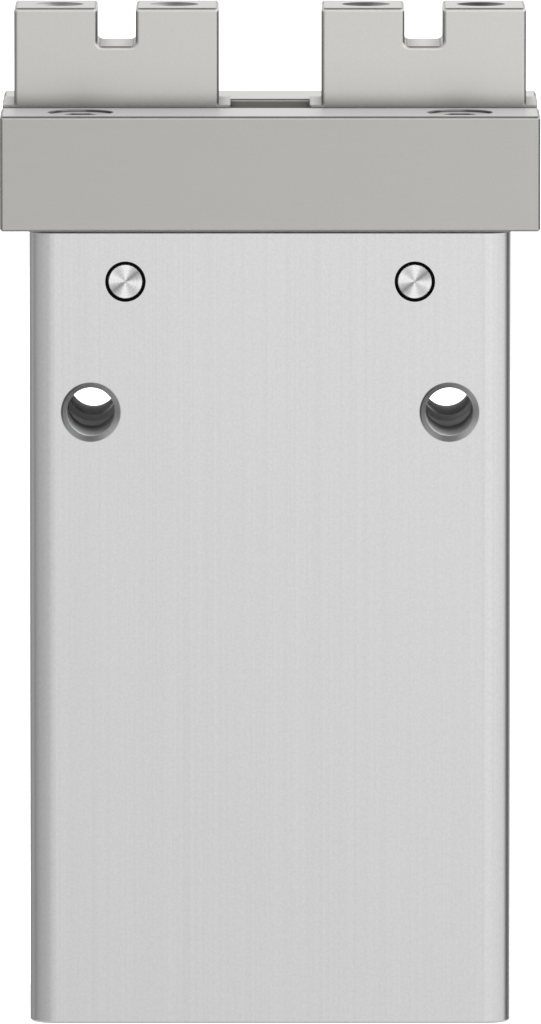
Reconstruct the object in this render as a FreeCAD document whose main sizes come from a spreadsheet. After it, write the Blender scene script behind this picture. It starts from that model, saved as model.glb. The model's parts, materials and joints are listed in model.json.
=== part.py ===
import FreeCAD, Part
import os

import Sketcher
from FreeCAD import Vector

# A small pneumatic gripper with two parallel flat jaws, in millimetres.
# X is the way the jaws travel, Y runs from the front to the back and Z points up to the jaw tips.
# The origin is the middle of the foot, and the model stands with its jaws open.

# Driving sizes: name, value, meaning.
SIZES = (
    ("housing_width", 25.0, "housing across the front"),
    ("housing_depth", 15.7, "housing from front to back"),
    ("housing_height", 41.4, "housing from the foot to the rail"),
    ("corner_radius", 1.35, "upright corners of the housing"),
    ("edge_break", 0.1, "small bevel round the housing's two ends"),
    ("mount_spacing", 18.6, "between the two mounting holes"),
    ("mount_drop", 9.4, "mounting holes below the housing's top"),
    ("thread_core", 2.5, "core of the M3 threads"),
    ("thread_mouth", 3.1, "bevelled mouth of the M3 threads"),
    ("foot_spacing_wide", 18.0, "foot threads along X"),
    ("foot_spacing_deep", 10.6, "foot threads along Y"),
    ("foot_thread_depth", 6.0, "depth of the foot threads"),
    ("sensor_mouth", 3.3, "mouth of the sensor slots"),
    ("sensor_width", 5.3, "sensor slots behind their lips"),
    ("sensor_lip", 1.5, "thickness of the sensor slots' lips"),
    ("sensor_depth", 5.7, "sensor slots from the housing's side"),
    ("sensor_roof", 1.9, "wall between sensor slot and lever chamber"),
    ("port_drill", 1.5, "air passage behind a port's thread"),
    ("port_thread_depth", 2.2, "thread in an air port"),
    ("port_margin", 0.1, "air passage to the end of its chamber"),
    ("bore_diameter", 10.0, "cylinder bore"),
    ("centring_diameter", 11.0, "centring recess in the foot"),
    ("centring_depth", 1.5, "depth of the centring recess"),
    ("ring_land", 0.5, "wall between centring recess and ring groove"),
    ("ring_groove_width", 0.8, "snap ring groove along Z"),
    ("ring_groove_diameter", 11.4, "floor of the snap ring groove"),
    ("ring_thickness", 0.7, "snap ring along Z"),
    ("ring_play", 0.05, "snap ring to its groove's floor"),
    ("ring_band", 0.95, "radial width of the snap ring"),
    ("ring_opening", 2.2, "gap between the snap ring's ends"),
    ("ring_lug", 2.0, "eyes at the snap ring's ends"),
    ("ring_eye", 0.9, "holes in those eyes"),
    ("cap_diameter", 10.6, "end cap and its seat"),
    ("cap_thickness", 3.2, "end cap along Z"),
    ("cap_dish", 0.8, "dish in the end cap's outer face"),
    ("cap_dish_diameter", 6.0, "width of that dish"),
    ("cap_seal_section", 1.0, "square section of the end cap's seal"),
    ("lower_bumper_diameter", 7.0, "lower bumper"),
    ("lower_bumper_thickness", 2.2, "lower bumper along Z"),
    ("upper_bumper_diameter", 8.4, "upper bumper"),
    ("upper_bumper_thickness", 1.0, "upper bumper along Z"),
    ("bumper_gap", 0.12, "piston to bumper at each end of the stroke"),
    ("bumper_bore_gap", 0.3, "piston rod to the upper bumper and the retainer"),
    ("retainer_thickness", 0.8, "rod seal's retainer along Z"),
    ("piston_length", 11.6, "piston along Z"),
    ("piston_play", 0.05, "piston to bore, on the radius"),
    ("seal_play", 0.02, "seals to what they run on"),
    ("piston_seal_section", 1.3, "square section of the piston seal"),
    ("piston_land", 1.3, "wall of the piston beside each groove"),
    ("magnet_height", 3.0, "magnet ring along Z"),
    ("magnet_wall", 1.4, "magnet ring, radial"),
    ("rod_diameter", 5.0, "piston rod"),
    ("rod_play", 0.03, "piston rod to its guide, on the radius"),
    ("rod_spigot", 3.0, "piston rod inside the piston"),
    ("rod_seal_diameter", 8.0, "rod seal, outside"),
    ("rod_seal_height", 2.0, "rod seal along Z"),
    ("rod_top_gap", 0.2, "piston rod below the rail, jaws open"),
    ("rod_bevel", 0.2, "bevel at the rod's top"),
    ("rail_lip", 0.15, "rail beyond the housing's front and back"),
    ("rail_height", 6.0, "rail along Z"),
    ("rail_floor", 1.2, "floor under the rail's channel"),
    ("rail_margin", 0.075, "open jaw to the end of the rail"),
    ("rail_edge", 0.12, "bevel of the rail's edges"),
    ("channel_gap", 0.1, "jaw to the wall of the channel"),
    ("channel_bevel", 0.1, "bevel along the channel's mouth"),
    ("screw_offset", 2.35, "rail screws outside the lever pins"),
    ("screw_thread", 2.0, "rail screws"),
    ("screw_head", 3.2, "heads of the rail screws"),
    ("screw_head_height", 1.3, "heads along Z"),
    ("screw_head_gap", 0.1, "head to its counterbore, on the radius"),
    ("screw_shank_gap", 0.1, "shank to its hole in the rail, on the radius"),
    ("screw_sink", 0.12, "heads below the rail's top"),
    ("screw_bite", 4.0, "rail screws inside the housing"),
    ("screw_spare", 0.6, "thread hole beyond the screw's end"),
    ("socket_across", 1.5, "hexagon socket across its flats"),
    ("socket_depth", 0.7, "depth of the hexagon socket"),
    ("dowel_diameter", 1.0, "dowel pins"),
    ("dowel_depth", 2.0, "dowel pins inside the housing"),
    ("dowel_spare", 0.2, "dowel pins below the channel's floor"),
    ("finger_width", 10.65, "jaw finger along X"),
    ("finger_height", 5.05, "jaw finger above its shoulders"),
    ("jaw_thickness", 5.3, "jaw from front to back"),
    ("jaw_stroke", 2.0, "travel of each jaw"),
    ("jaw_edge", 0.12, "bevel of the jaw's edges"),
    ("jaw_lift", 0.1, "jaw above the channel's floor"),
    ("shoulder_rise", 0.15, "jaw shoulders above the rail"),
    ("shoulder_inner", 0.6, "shoulder towards the middle"),
    ("shoulder_outer", 0.6, "shoulder towards the rail's end"),
    ("shoulder_gap", 0.15, "between the closed jaws' shoulders"),
    ("notch_width", 2.0, "locating notch in the jaw's top"),
    ("notch_depth", 2.0, "depth of the locating notch"),
    ("notch_radius", 0.25, "corners at the notch's floor"),
    ("jaw_hole_spacing", 6.0, "threads in the jaw's top"),
    ("jaw_thread_core", 2.05, "core of the M2.5 threads"),
    ("jaw_thread_mouth", 2.5, "bevelled mouth of those threads"),
    ("jaw_thread_depth", 4.5, "depth of those threads"),
    ("lever_spacing", 15.0, "between the lever pins"),
    ("lever_drop", 2.6, "lever pins below the housing's top"),
    ("pin_diameter", 1.8, "lever pins"),
    ("pin_sink", 0.02, "pin ends below the housing's faces"),
    ("pin_bevel", 0.05, "bevel at the pin ends"),
    ("pin_ring_wall", 0.15, "seal rings round the pin ends, radial"),
    ("pin_ring_depth", 0.6, "recess of a seal ring"),
    ("pin_ring_sink", 0.06, "seal rings below the housing's faces"),
    ("lever_thickness", 2.6, "lever along its pin"),
    ("lever_hub", 4.0, "lever round its pin"),
    ("lever_root", 2.2, "lever arms where they leave the hub"),
    ("lever_neck", 1.0, "lever arms behind their tips"),
    ("neck_length", 1.7, "neck from the middle of a tip"),
    ("upper_tip", 1.6, "round tip inside the jaw"),
    ("inner_tip", 1.5, "round tip inside the piston rod"),
    ("tip_reach", 1.3, "upper tip's middle above the jaw's base"),
    ("tip_engagement", 0.5, "inner tip's middle inside the rod's surface"),
    ("tip_play", 0.03, "tip to the walls that it pushes"),
    ("tip_clear", 0.2, "tip to the end of its pocket"),
    ("hinge_play", 0.02, "lever to its pin, on the radius"),
    ("chamber_gap", 0.2, "lever to the chamber's walls along Y"),
    ("chamber_floor_gap", 0.4, "lever hub to the chamber's floor"),
    ("chamber_end_gap", 0.9, "lever hub to the chamber's round ends"),
    ("window_half", 2.4, "half length of the rail's lever windows"),
    ("roller_count", 4, "rollers in one row"),
    ("roller_diameter", 1.2, "crossed guide rollers"),
    ("roller_length", 1.1, "rollers along their own axes"),
    ("roller_gap", 0.3, "between two rollers"),
    ("roller_play", 0.02, "roller to its grooves"),
    ("roller_drop", 2.1, "roller rows below the rail's top"),
    ("stop_diameter", 0.6, "pins that stop the rollers"),
    ("stop_inset", 0.1, "those pins behind the channel's wall"),
    ("stop_margin", 0.3, "those pins inside the housing's sides"),
    ("stop_gap", 0.1, "row of rollers to its stop"),
)

# Places worked out from the driving sizes: name, formula.
PLACES = (
    ("rail_top", "Sizes.housing_height + Sizes.rail_height"),
    ("channel_floor", "Sizes.housing_height + Sizes.rail_floor"),
    ("channel_width", "Sizes.jaw_thickness + 2 * Sizes.channel_gap"),
    ("jaw_base", "channel_floor + Sizes.jaw_lift"),
    ("shoulder_top", "rail_top + Sizes.shoulder_rise"),
    ("jaw_top", "shoulder_top + Sizes.finger_height"),
    ("jaw_inner", "Sizes.shoulder_gap / 2 + Sizes.jaw_stroke"),
    ("finger_inner", "jaw_inner + Sizes.shoulder_inner"),
    ("finger_middle", "finger_inner + Sizes.finger_width / 2"),
    ("finger_outer", "finger_inner + Sizes.finger_width"),
    ("jaw_outer", "finger_outer + Sizes.shoulder_outer"),
    ("rail_width", "2 * (jaw_outer + Sizes.rail_margin)"),
    ("rail_depth", "Sizes.housing_depth + 2 * Sizes.rail_lip"),
    ("lip_middle", "(channel_width + rail_depth) / 4"),
    ("pin_x", "Sizes.lever_spacing / 2"),
    ("pin_z", "Sizes.housing_height - Sizes.lever_drop"),
    ("screw_x", "pin_x + Sizes.screw_offset"),
    ("screw_seat", "rail_top - Sizes.screw_sink - Sizes.screw_head_height"),
    ("upper_arm", "jaw_base + Sizes.tip_reach - pin_z"),
    ("inner_arm", "pin_x - Sizes.rod_diameter / 2 + Sizes.tip_engagement"),
    ("swing", "asin(Sizes.jaw_stroke / 2 / upper_arm)"),
    ("piston_stroke", "Sizes.jaw_stroke * inner_arm / upper_arm"),
    ("jaw_pocket_x", "pin_x + Sizes.jaw_stroke / 2"),
    ("rod_notch_x", "pin_x - inner_arm - Sizes.inner_tip / 2 - Sizes.tip_clear"),
    ("rod_notch_z", "pin_z + piston_stroke / 2"),
    ("chamber_width", "Sizes.lever_thickness + 2 * Sizes.chamber_gap"),
    ("chamber_half", "pin_x + Sizes.lever_hub / 2 + Sizes.chamber_end_gap"),
    ("chamber_depth", "Sizes.lever_drop + Sizes.lever_hub / 2 + Sizes.chamber_floor_gap"),
    ("dowel_x", "(chamber_half + Sizes.housing_width / 2) / 2"),
    ("sensor_top", "Sizes.housing_height - chamber_depth - Sizes.sensor_roof"),
    ("mount_z", "Sizes.housing_height - Sizes.mount_drop"),
    ("ring_low", "Sizes.centring_depth + Sizes.ring_land"),
    ("ring_high", "ring_low + Sizes.ring_groove_width"),
    ("cap_top", "ring_high + Sizes.cap_thickness"),
    ("lower_bumper_top", "cap_top + Sizes.lower_bumper_thickness"),
    ("piston_low", "lower_bumper_top + Sizes.bumper_gap + piston_stroke"),
    ("piston_high", "piston_low + Sizes.piston_length"),
    ("upper_bumper_low", "piston_high + Sizes.bumper_gap"),
    ("retainer_low", "upper_bumper_low + Sizes.upper_bumper_thickness"),
    ("bore_top", "retainer_low + Sizes.retainer_thickness"),
    ("rod_seal_top", "bore_top + Sizes.rod_seal_height"),
    ("rod_top", "Sizes.housing_height - Sizes.rod_top_gap"),
    ("lower_port_z", "cap_top + Sizes.port_drill / 2 + Sizes.port_margin"),
    ("upper_port_z", "retainer_low - Sizes.port_drill / 2 - Sizes.port_margin"),
    ("roller_y", "(Sizes.jaw_thickness + Sizes.channel_gap) / 2"),
    ("roller_z", "rail_top - Sizes.roller_drop"),
    ("groove_half", "(Sizes.roller_diameter / 2 + Sizes.roller_play) * sqrt(2)"),
    ("roller_pitch", "Sizes.roller_diameter + Sizes.roller_gap"),
    ("roller_row", "Sizes.roller_count * roller_pitch"),
    ("stop_x", "(Sizes.housing_width - Sizes.stop_diameter) / 2 - Sizes.stop_margin"),
    ("roller_middle", "stop_x - Sizes.stop_diameter / 2 - Sizes.stop_gap - roller_row / 2"),
    ("groove_end", "roller_middle - Sizes.jaw_stroke / 2 - roller_row / 2 - Sizes.stop_gap"),
    ("stop_y", "(channel_width + Sizes.stop_diameter) / 2 + Sizes.stop_inset"),
    ("stop_height", "roller_z + groove_half - Sizes.housing_height"),
)

doc = FreeCAD.newDocument("ParallelGripper")


def fill_sheet(name, rows):
    """A spreadsheet with one named cell for each row."""
    sheet = doc.addObject("Spreadsheet::Sheet", name)
    for line, (alias, content, note) in enumerate(rows, 1):
        sheet.set(f"A{line}", note)
        sheet.set(f"B{line}", content)
        sheet.setAlias(f"B{line}", alias)
    doc.recompute()
    return sheet


sizes = fill_sheet("Sizes", [(alias, str(number), note) for alias, number, note in SIZES])
fill_sheet("Places", [(alias, "=" + formula, "") for alias, formula in PLACES])


def value(expression):
    """The number that an expression over the two sheets gives."""
    result = sizes.evalExpression(expression)
    return getattr(result, "Value", result)


def bind(feature, **expressions):
    """Ties properties of a feature to expressions."""
    for name, expression in expressions.items():
        feature.setExpression(name, expression)
    return feature


def put(feature, x="0", y="0", z="0"):
    """Ties the place of a document object to expressions."""
    for axis, expression in (("x", x), ("y", y), ("z", z)):
        feature.setExpression("Placement.Base." + axis, expression)
    return feature


def new_body(label):
    body = doc.addObject("PartDesign::Body", label)
    body.Label = label
    return body


def origin_plane(body, plane):
    return next(item for item in body.Origin.OriginFeatures if item.Role == plane + "_Plane")


def sketch_on(body, plane, x="0", y="0", z="0"):
    """A sketch on an origin plane, moved along its own x and y and along its normal z."""
    sketch = body.newObject("Sketcher::SketchObject", body.Label + "_sketch")
    sketch.AttachmentSupport = [(origin_plane(body, plane), "")]
    sketch.MapMode = "FlatFace"
    for axis, expression in (("x", x), ("y", y), ("z", z)):
        sketch.setExpression("AttachmentOffset.Base." + axis, expression)
    return sketch


def dimension(sketch, kind, *where, expression):
    index = sketch.addConstraint(Sketcher.Constraint(kind, *where, value(expression)))
    sketch.setExpression(f"Constraints[{index}]", expression)


def pin_point(sketch, geometry, point, x, y):
    """Fixes a point of the sketch at two distances from the sketch's origin."""
    dimension(sketch, "DistanceX", -1, 1, geometry, point, expression=x)
    dimension(sketch, "DistanceY", -1, 1, geometry, point, expression=y)


def circle(sketch, diameter, x="0", y="0"):
    shape = Part.Circle(Vector(value(x), value(y), 0), Vector(0, 0, 1), value(diameter) / 2)
    ring = sketch.addGeometry(shape, False)
    dimension(sketch, "Diameter", ring, expression=diameter)
    pin_point(sketch, ring, 3, x, y)


def outline(sketch, points):
    """A closed run of straight lines through points that are pairs of expressions."""
    corners = [Vector(value(x), value(y), 0) for x, y in points]
    lines = []
    for start, end in zip(corners, corners[1:] + corners[:1]):
        lines.append(sketch.addGeometry(Part.LineSegment(start, end), False))
    for line, following in zip(lines, lines[1:] + lines[:1]):
        sketch.addConstraint(Sketcher.Constraint("Coincident", line, 2, following, 1))
    for line, (x, y) in zip(lines, points):
        pin_point(sketch, line, 1, x, y)


def rectangle(sketch, width, height, x="0", y="0"):
    """A rectangle by its two sizes and its middle."""
    left, right = f"{x} - ({width}) / 2", f"{x} + ({width}) / 2"
    low, high = f"{y} - ({height}) / 2", f"{y} + ({height}) / 2"
    outline(sketch, ((left, low), (right, low), (right, high), (left, high)))


def slot(sketch, half_length, width, x="0"):
    """A milled slot along the sketch's x with round ends."""
    radius = value(width) / 2
    reach = value(half_length) - radius
    middle = value(x)
    top = Part.LineSegment(Vector(middle - reach, radius, 0), Vector(middle + reach, radius, 0))
    bottom = Part.LineSegment(Vector(middle + reach, -radius, 0), Vector(middle - reach, -radius, 0))
    right = Part.Arc(top.EndPoint, Vector(middle + reach + radius, 0, 0), bottom.StartPoint)
    left = Part.Arc(bottom.EndPoint, Vector(middle - reach - radius, 0, 0), top.StartPoint)
    upper, lower, right_end, left_end = (sketch.addGeometry(g, False) for g in (top, bottom, right, left))
    # An arc's first point is its clockwise end, so the joins are listed point by point.
    for line, line_point, arc, arc_point in (
        (upper, 2, right_end, 2),
        (lower, 1, right_end, 1),
        (lower, 2, left_end, 2),
        (upper, 1, left_end, 1),
    ):
        sketch.addConstraint(Sketcher.Constraint("Tangent", line, line_point, arc, arc_point))
    dimension(sketch, "Radius", right_end, expression=f"({width}) / 2")
    pin_point(sketch, right_end, 3, f"{x} + ({half_length}) - ({width}) / 2", "0")
    pin_point(sketch, left_end, 3, f"{x} - ({half_length}) + ({width}) / 2", "0")


def add_feature(body, kind, sketch, **expressions):
    feature = body.newObject("PartDesign::" + kind, body.Label + "_" + kind.lower())
    feature.Profile = sketch
    return bind(feature, **expressions)


def pad(body, sketch, length, both_ways=False):
    feature = add_feature(body, "Pad", sketch, Length=length)
    feature.SideType = "Symmetric" if both_ways else "One side"
    doc.recompute()
    return feature


def cut(body, make):
    """Adds a cutting feature and makes sure that it takes material away."""
    before = body.Shape.Volume
    feature = make()
    doc.recompute()
    if not body.Shape.Volume < before:
        raise ValueError(f"{feature.Name} removes nothing")
    return feature


def pocket(body, sketch, length, both_ways=False, upward=False):
    """A pocket against the sketch's normal, along it, or half its length both ways."""

    def make():
        feature = add_feature(body, "Pocket", sketch, Length=length)
        feature.SideType = "Symmetric" if both_ways else "One side"
        feature.Reversed = upward
        return feature

    return cut(body, make)


def turned_cut(body, sketch, axis="V_Axis"):
    """A groove turned all the way round an axis of the sketch."""

    def make():
        feature = add_feature(body, "Groove", sketch)
        feature.ReferenceAxis = (sketch, [axis])
        feature.Angle = 360
        return feature

    return cut(body, make)


def turned(label, points):
    """A body turned about Z from pairs of radius and height."""
    body = new_body(label)
    sketch = sketch_on(body, "XZ")
    outline(sketch, points)
    feature = add_feature(body, "Revolution", sketch)
    feature.ReferenceAxis = (sketch, ["V_Axis"])
    feature.Angle = 360
    doc.recompute()
    return body


def edge_names(feature, wanted):
    """Names of the edges of a feature for which a test on the edge holds."""
    return [f"Edge{n}" for n, edge in enumerate(feature.Shape.Edges, 1) if wanted(edge)]


def along(edge, axis):
    """Whether an edge is a straight line along an axis."""
    return isinstance(edge.Curve, Part.Line) and abs(abs(edge.Curve.Direction.dot(axis)) - 1) < 1e-6


def dress(body, kind, base, edges, **expressions):
    """A fillet or a chamfer on edges of a feature."""
    feature = body.newObject("PartDesign::" + kind, body.Label + "_" + kind.lower())
    feature.Base = (base, edges)
    bind(feature, **expressions)
    doc.recompute()
    return feature


def blind_thread(body, x, y, face_z, core, mouth, depth, downward=True):
    """A threaded blind hole along Z, drawn at its core, with a bevelled mouth."""
    way = "-1" if downward else "1"
    bevel = f"({mouth} - {core}) / 2"
    sketch = sketch_on(body, "XZ", x=x, y=face_z, z=f"-({y})")
    outline(
        sketch,
        (
            ("0", "0"),
            (f"{mouth} / 2", "0"),
            (f"{core} / 2", f"{way} * {bevel}"),
            (f"{core} / 2", f"{way} * {depth}"),
            ("0", f"{way} * {depth}"),
        ),
    )
    turned_cut(body, sketch)


def mirror(source, axis):
    """A mirrored copy of an object across the plane through the origin that the axis crosses."""
    copy = doc.addObject("Part::Mirroring", source.Name + "_mirror")
    copy.Source = source
    copy.Normal = axis
    return copy


def group(label, members):
    """Separate solids that share one node."""
    compound = doc.addObject("Part::Compound", label)
    compound.Label = label
    compound.Links = members
    return compound


def named_mirror(label, source):
    copy = mirror(source, X_AXIS)
    copy.Label = label
    return copy


def four_ways(label, sources):
    """Sources repeated left and right, front and back."""
    members = []
    for source in sources:
        across = mirror(source, X_AXIS)
        members += [source, across, mirror(source, Y_AXIS), mirror(across, Y_AXIS)]
    return group(label, members)


def round_bar(name, diameter, length, x, y, z):
    """An upright cylinder by its foot."""
    bar = doc.addObject("Part::Cylinder", name)
    bind(bar, Radius=f"({diameter}) / 2", Height=length)
    return put(bar, x, y, z)


X_AXIS = Vector(1, 0, 0)
Y_AXIS = Vector(0, 1, 0)
Z_AXIS = Vector(0, 0, 1)
SIDES = ("-1", "1")


def make_housing():
    body = new_body("housing")
    block_sketch = sketch_on(body, "XY")
    rectangle(block_sketch, "Sizes.housing_width", "Sizes.housing_depth")
    block = pad(body, block_sketch, "Sizes.housing_height")
    uprights = edge_names(block, lambda edge: along(edge, Z_AXIS))
    rounded = dress(body, "Fillet", block, uprights, Radius="Sizes.corner_radius")
    rims = edge_names(rounded, lambda edge: edge.BoundBox.ZLength < 1e-6)
    dress(body, "Chamfer", rounded, rims, Size="Sizes.edge_break")

    # Cylinder, end cap seat, ring groove and centring recess from below, rod guide up to the top.
    bore_sketch = sketch_on(body, "XZ")
    rod_guide = "Sizes.rod_diameter / 2 + Sizes.rod_play"
    outline(
        bore_sketch,
        (
            ("0", "0"),
            ("Sizes.centring_diameter / 2", "0"),
            ("Sizes.centring_diameter / 2", "Sizes.centring_depth"),
            ("Sizes.cap_diameter / 2", "Sizes.centring_depth"),
            ("Sizes.cap_diameter / 2", "Places.ring_low"),
            ("Sizes.ring_groove_diameter / 2", "Places.ring_low"),
            ("Sizes.ring_groove_diameter / 2", "Places.ring_high"),
            ("Sizes.cap_diameter / 2", "Places.ring_high"),
            ("Sizes.cap_diameter / 2", "Places.cap_top"),
            ("Sizes.bore_diameter / 2", "Places.cap_top"),
            ("Sizes.bore_diameter / 2", "Places.bore_top"),
            ("Sizes.rod_seal_diameter / 2", "Places.bore_top"),
            ("Sizes.rod_seal_diameter / 2", "Places.rod_seal_top"),
            (rod_guide, "Places.rod_seal_top"),
            (rod_guide, "Sizes.housing_height"),
            ("0", "Sizes.housing_height"),
        ),
    )
    turned_cut(body, bore_sketch)

    chamber_sketch = sketch_on(body, "XY", z="Sizes.housing_height")
    slot(chamber_sketch, "Places.chamber_half", "Places.chamber_width")
    pocket(body, chamber_sketch, "Places.chamber_depth")

    sensor_sketch = sketch_on(body, "XY")
    for side in SIDES:
        face = "Sizes.housing_width / 2"
        outline(
            sensor_sketch,
            [
                (f"{side} * ({x})", y)
                for x, y in (
                    (f"{face} - Sizes.sensor_depth", "-Sizes.sensor_width / 2"),
                    (f"{face} - Sizes.sensor_lip", "-Sizes.sensor_width / 2"),
                    (f"{face} - Sizes.sensor_lip", "-Sizes.sensor_mouth / 2"),
                    (face, "-Sizes.sensor_mouth / 2"),
                    (face, "Sizes.sensor_mouth / 2"),
                    (f"{face} - Sizes.sensor_lip", "Sizes.sensor_mouth / 2"),
                    (f"{face} - Sizes.sensor_lip", "Sizes.sensor_width / 2"),
                    (f"{face} - Sizes.sensor_depth", "Sizes.sensor_width / 2"),
                )
            ],
        )
    pocket(body, sensor_sketch, "Places.sensor_top", upward=True)

    front, back = "-Sizes.housing_depth / 2", "Sizes.housing_depth / 2"
    bevel = "(Sizes.thread_mouth - Sizes.thread_core) / 2"
    ring_recess = "Sizes.pin_diameter / 2 + Sizes.pin_ring_wall"
    for side in SIDES:
        mount_sketch = sketch_on(body, "XY", x=f"{side} * Sizes.mount_spacing / 2", z="Places.mount_z")
        outline(
            mount_sketch,
            (
                ("0", front),
                ("Sizes.thread_mouth / 2", front),
                ("Sizes.thread_core / 2", f"{front} + {bevel}"),
                ("Sizes.thread_core / 2", f"{back} - {bevel}"),
                ("Sizes.thread_mouth / 2", back),
                ("0", back),
            ),
        )
        turned_cut(body, mount_sketch)

        pin_sketch = sketch_on(body, "XY", x=f"{side} * Places.pin_x", z="Places.pin_z")
        outline(
            pin_sketch,
            (
                ("0", front),
                (ring_recess, front),
                (ring_recess, f"{front} + Sizes.pin_ring_depth"),
                ("Sizes.pin_diameter / 2", f"{front} + Sizes.pin_ring_depth"),
                ("Sizes.pin_diameter / 2", f"{back} - Sizes.pin_ring_depth"),
                (ring_recess, f"{back} - Sizes.pin_ring_depth"),
                (ring_recess, back),
                ("0", back),
            ),
        )
        turned_cut(body, pin_sketch)

    for port_z in ("Places.lower_port_z", "Places.upper_port_z"):
        port_sketch = sketch_on(body, "XY", z=port_z)
        outline(
            port_sketch,
            (
                ("0", back),
                ("Sizes.thread_mouth / 2", back),
                ("Sizes.thread_core / 2", f"{back} - {bevel}"),
                ("Sizes.thread_core / 2", f"{back} - Sizes.port_thread_depth"),
                ("Sizes.port_drill / 2", f"{back} - Sizes.port_thread_depth"),
                ("Sizes.port_drill / 2", "Sizes.bore_diameter / 4"),
                ("0", "Sizes.bore_diameter / 4"),
            ),
        )
        turned_cut(body, port_sketch)

    top_sketch = sketch_on(body, "XY", z="Sizes.housing_height")
    dowel_sketch = sketch_on(body, "XY", z="Sizes.housing_height")
    for side in SIDES:
        circle(dowel_sketch, "Sizes.dowel_diameter", f"{side} * Places.dowel_x")
        for end in SIDES:
            screw_place = (f"{side} * Places.screw_x", f"{end} * Places.lip_middle")
            circle(top_sketch, "Sizes.screw_thread", *screw_place)
            blind_thread(
                body,
                f"{side} * Sizes.foot_spacing_wide / 2",
                f"{end} * Sizes.foot_spacing_deep / 2",
                "0",
                "Sizes.thread_core",
                "Sizes.thread_mouth",
                "Sizes.foot_thread_depth",
                downward=False,
            )
    pocket(body, top_sketch, "Sizes.screw_bite + Sizes.screw_spare")
    pocket(body, dowel_sketch, "Sizes.dowel_depth")
    return body


def roller_grooves(sketch):
    """Square grooves on edge, shared by the jaw and the rail, on both sides of the jaw."""
    half = "Places.groove_half"
    z = "Places.roller_z"
    for side in SIDES:
        y = f"{side} * Places.roller_y"
        corners = ((f"{y} - {half}", z), (y, f"{z} - {half}"), (f"{y} + {half}", z), (y, f"{z} + {half}"))
        outline(sketch, corners)


def make_guide_rail():
    body = new_body("guide_rail")
    block_sketch = sketch_on(body, "XY", z="Sizes.housing_height")
    rectangle(block_sketch, "Places.rail_width", "Places.rail_depth")
    block = pad(body, block_sketch, "Sizes.rail_height")
    dress(body, "Chamfer", block, edge_names(block, lambda edge: True), Size="Sizes.rail_edge")

    channel_sketch = sketch_on(body, "YZ")
    wall = "Places.channel_width / 2"
    mouth = f"{wall} + Sizes.channel_bevel"
    outline(
        channel_sketch,
        (
            (f"-({wall})", "Places.channel_floor"),
            (wall, "Places.channel_floor"),
            (wall, "Places.rail_top - Sizes.channel_bevel"),
            (mouth, "Places.rail_top"),
            (f"-({mouth})", "Places.rail_top"),
            (f"-({wall})", "Places.rail_top - Sizes.channel_bevel"),
        ),
    )
    pocket(body, channel_sketch, "Places.rail_width", both_ways=True)

    # The roller grooves come in from the rail's ends and stop short of its middle.
    for side in SIDES:
        groove_sketch = sketch_on(body, "YZ", z=f"{side} * Places.rail_width / 2")
        roller_grooves(groove_sketch)
        pocket(body, groove_sketch, "Places.rail_width / 2 - Places.groove_end", upward=side == "-1")

    window_sketch = sketch_on(body, "XY", z="Places.channel_floor")
    dowel_sketch = sketch_on(body, "XY", z="Sizes.housing_height")
    stop_sketch = sketch_on(body, "XY", z="Sizes.housing_height")
    for side in SIDES:
        slot(window_sketch, "Sizes.window_half", "Places.chamber_width", f"{side} * Places.pin_x")
        circle(dowel_sketch, "Sizes.dowel_diameter", f"{side} * Places.dowel_x")
        for end in SIDES:
            circle(stop_sketch, "Sizes.stop_diameter", f"{side} * Places.stop_x", f"{end} * Places.stop_y")
    pocket(body, window_sketch, "Sizes.rail_floor")
    pocket(body, dowel_sketch, "Sizes.rail_floor - Sizes.dowel_spare", upward=True)
    pocket(body, stop_sketch, "Places.stop_height", upward=True)

    head_sketch = sketch_on(body, "XY", z="Places.rail_top")
    shank_sketch = sketch_on(body, "XY", z="Places.rail_top")
    for side in SIDES:
        for end in SIDES:
            centre = (f"{side} * Places.screw_x", f"{end} * Places.lip_middle")
            circle(head_sketch, "Sizes.screw_head + 2 * Sizes.screw_head_gap", *centre)
            circle(shank_sketch, "Sizes.screw_thread + 2 * Sizes.screw_shank_gap", *centre)
    pocket(body, head_sketch, "Places.rail_top - Places.screw_seat")
    pocket(body, shank_sketch, "Sizes.rail_height")
    return body


def make_rail_screws():
    screw = turned(
        "rail_screw",
        (
            ("0", "-Sizes.screw_bite - Places.screw_seat + Sizes.housing_height"),
            ("Sizes.screw_thread / 2", "-Sizes.screw_bite - Places.screw_seat + Sizes.housing_height"),
            ("Sizes.screw_thread / 2", "0"),
            ("Sizes.screw_head / 2", "0"),
            ("Sizes.screw_head / 2", "Sizes.screw_head_height"),
            ("0", "Sizes.screw_head_height"),
        ),
    )
    socket_sketch = sketch_on(screw, "XY", z="Sizes.screw_head_height")
    half = "Sizes.socket_across / 2"
    corner = "Sizes.socket_across / sqrt(3)"
    outline(
        socket_sketch,
        (
            (corner, "0"),
            (f"{corner} / 2", half),
            (f"-{corner} / 2", half),
            (f"-{corner}", "0"),
            (f"-{corner} / 2", f"-{half}"),
            (f"{corner} / 2", f"-{half}"),
        ),
    )
    pocket(screw, socket_sketch, "Sizes.socket_depth")
    put(screw, "Places.screw_x", "Places.lip_middle", "Places.screw_seat")
    return four_ways("rail_screws", [screw])


def make_dowel_pins():
    dowel = round_bar(
        "dowel",
        "Sizes.dowel_diameter",
        "Sizes.dowel_depth + Sizes.rail_floor - Sizes.dowel_spare",
        "Places.dowel_x",
        "0",
        "Sizes.housing_height - Sizes.dowel_depth",
    )
    return group("dowel_pins", [dowel, mirror(dowel, X_AXIS)])


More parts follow.
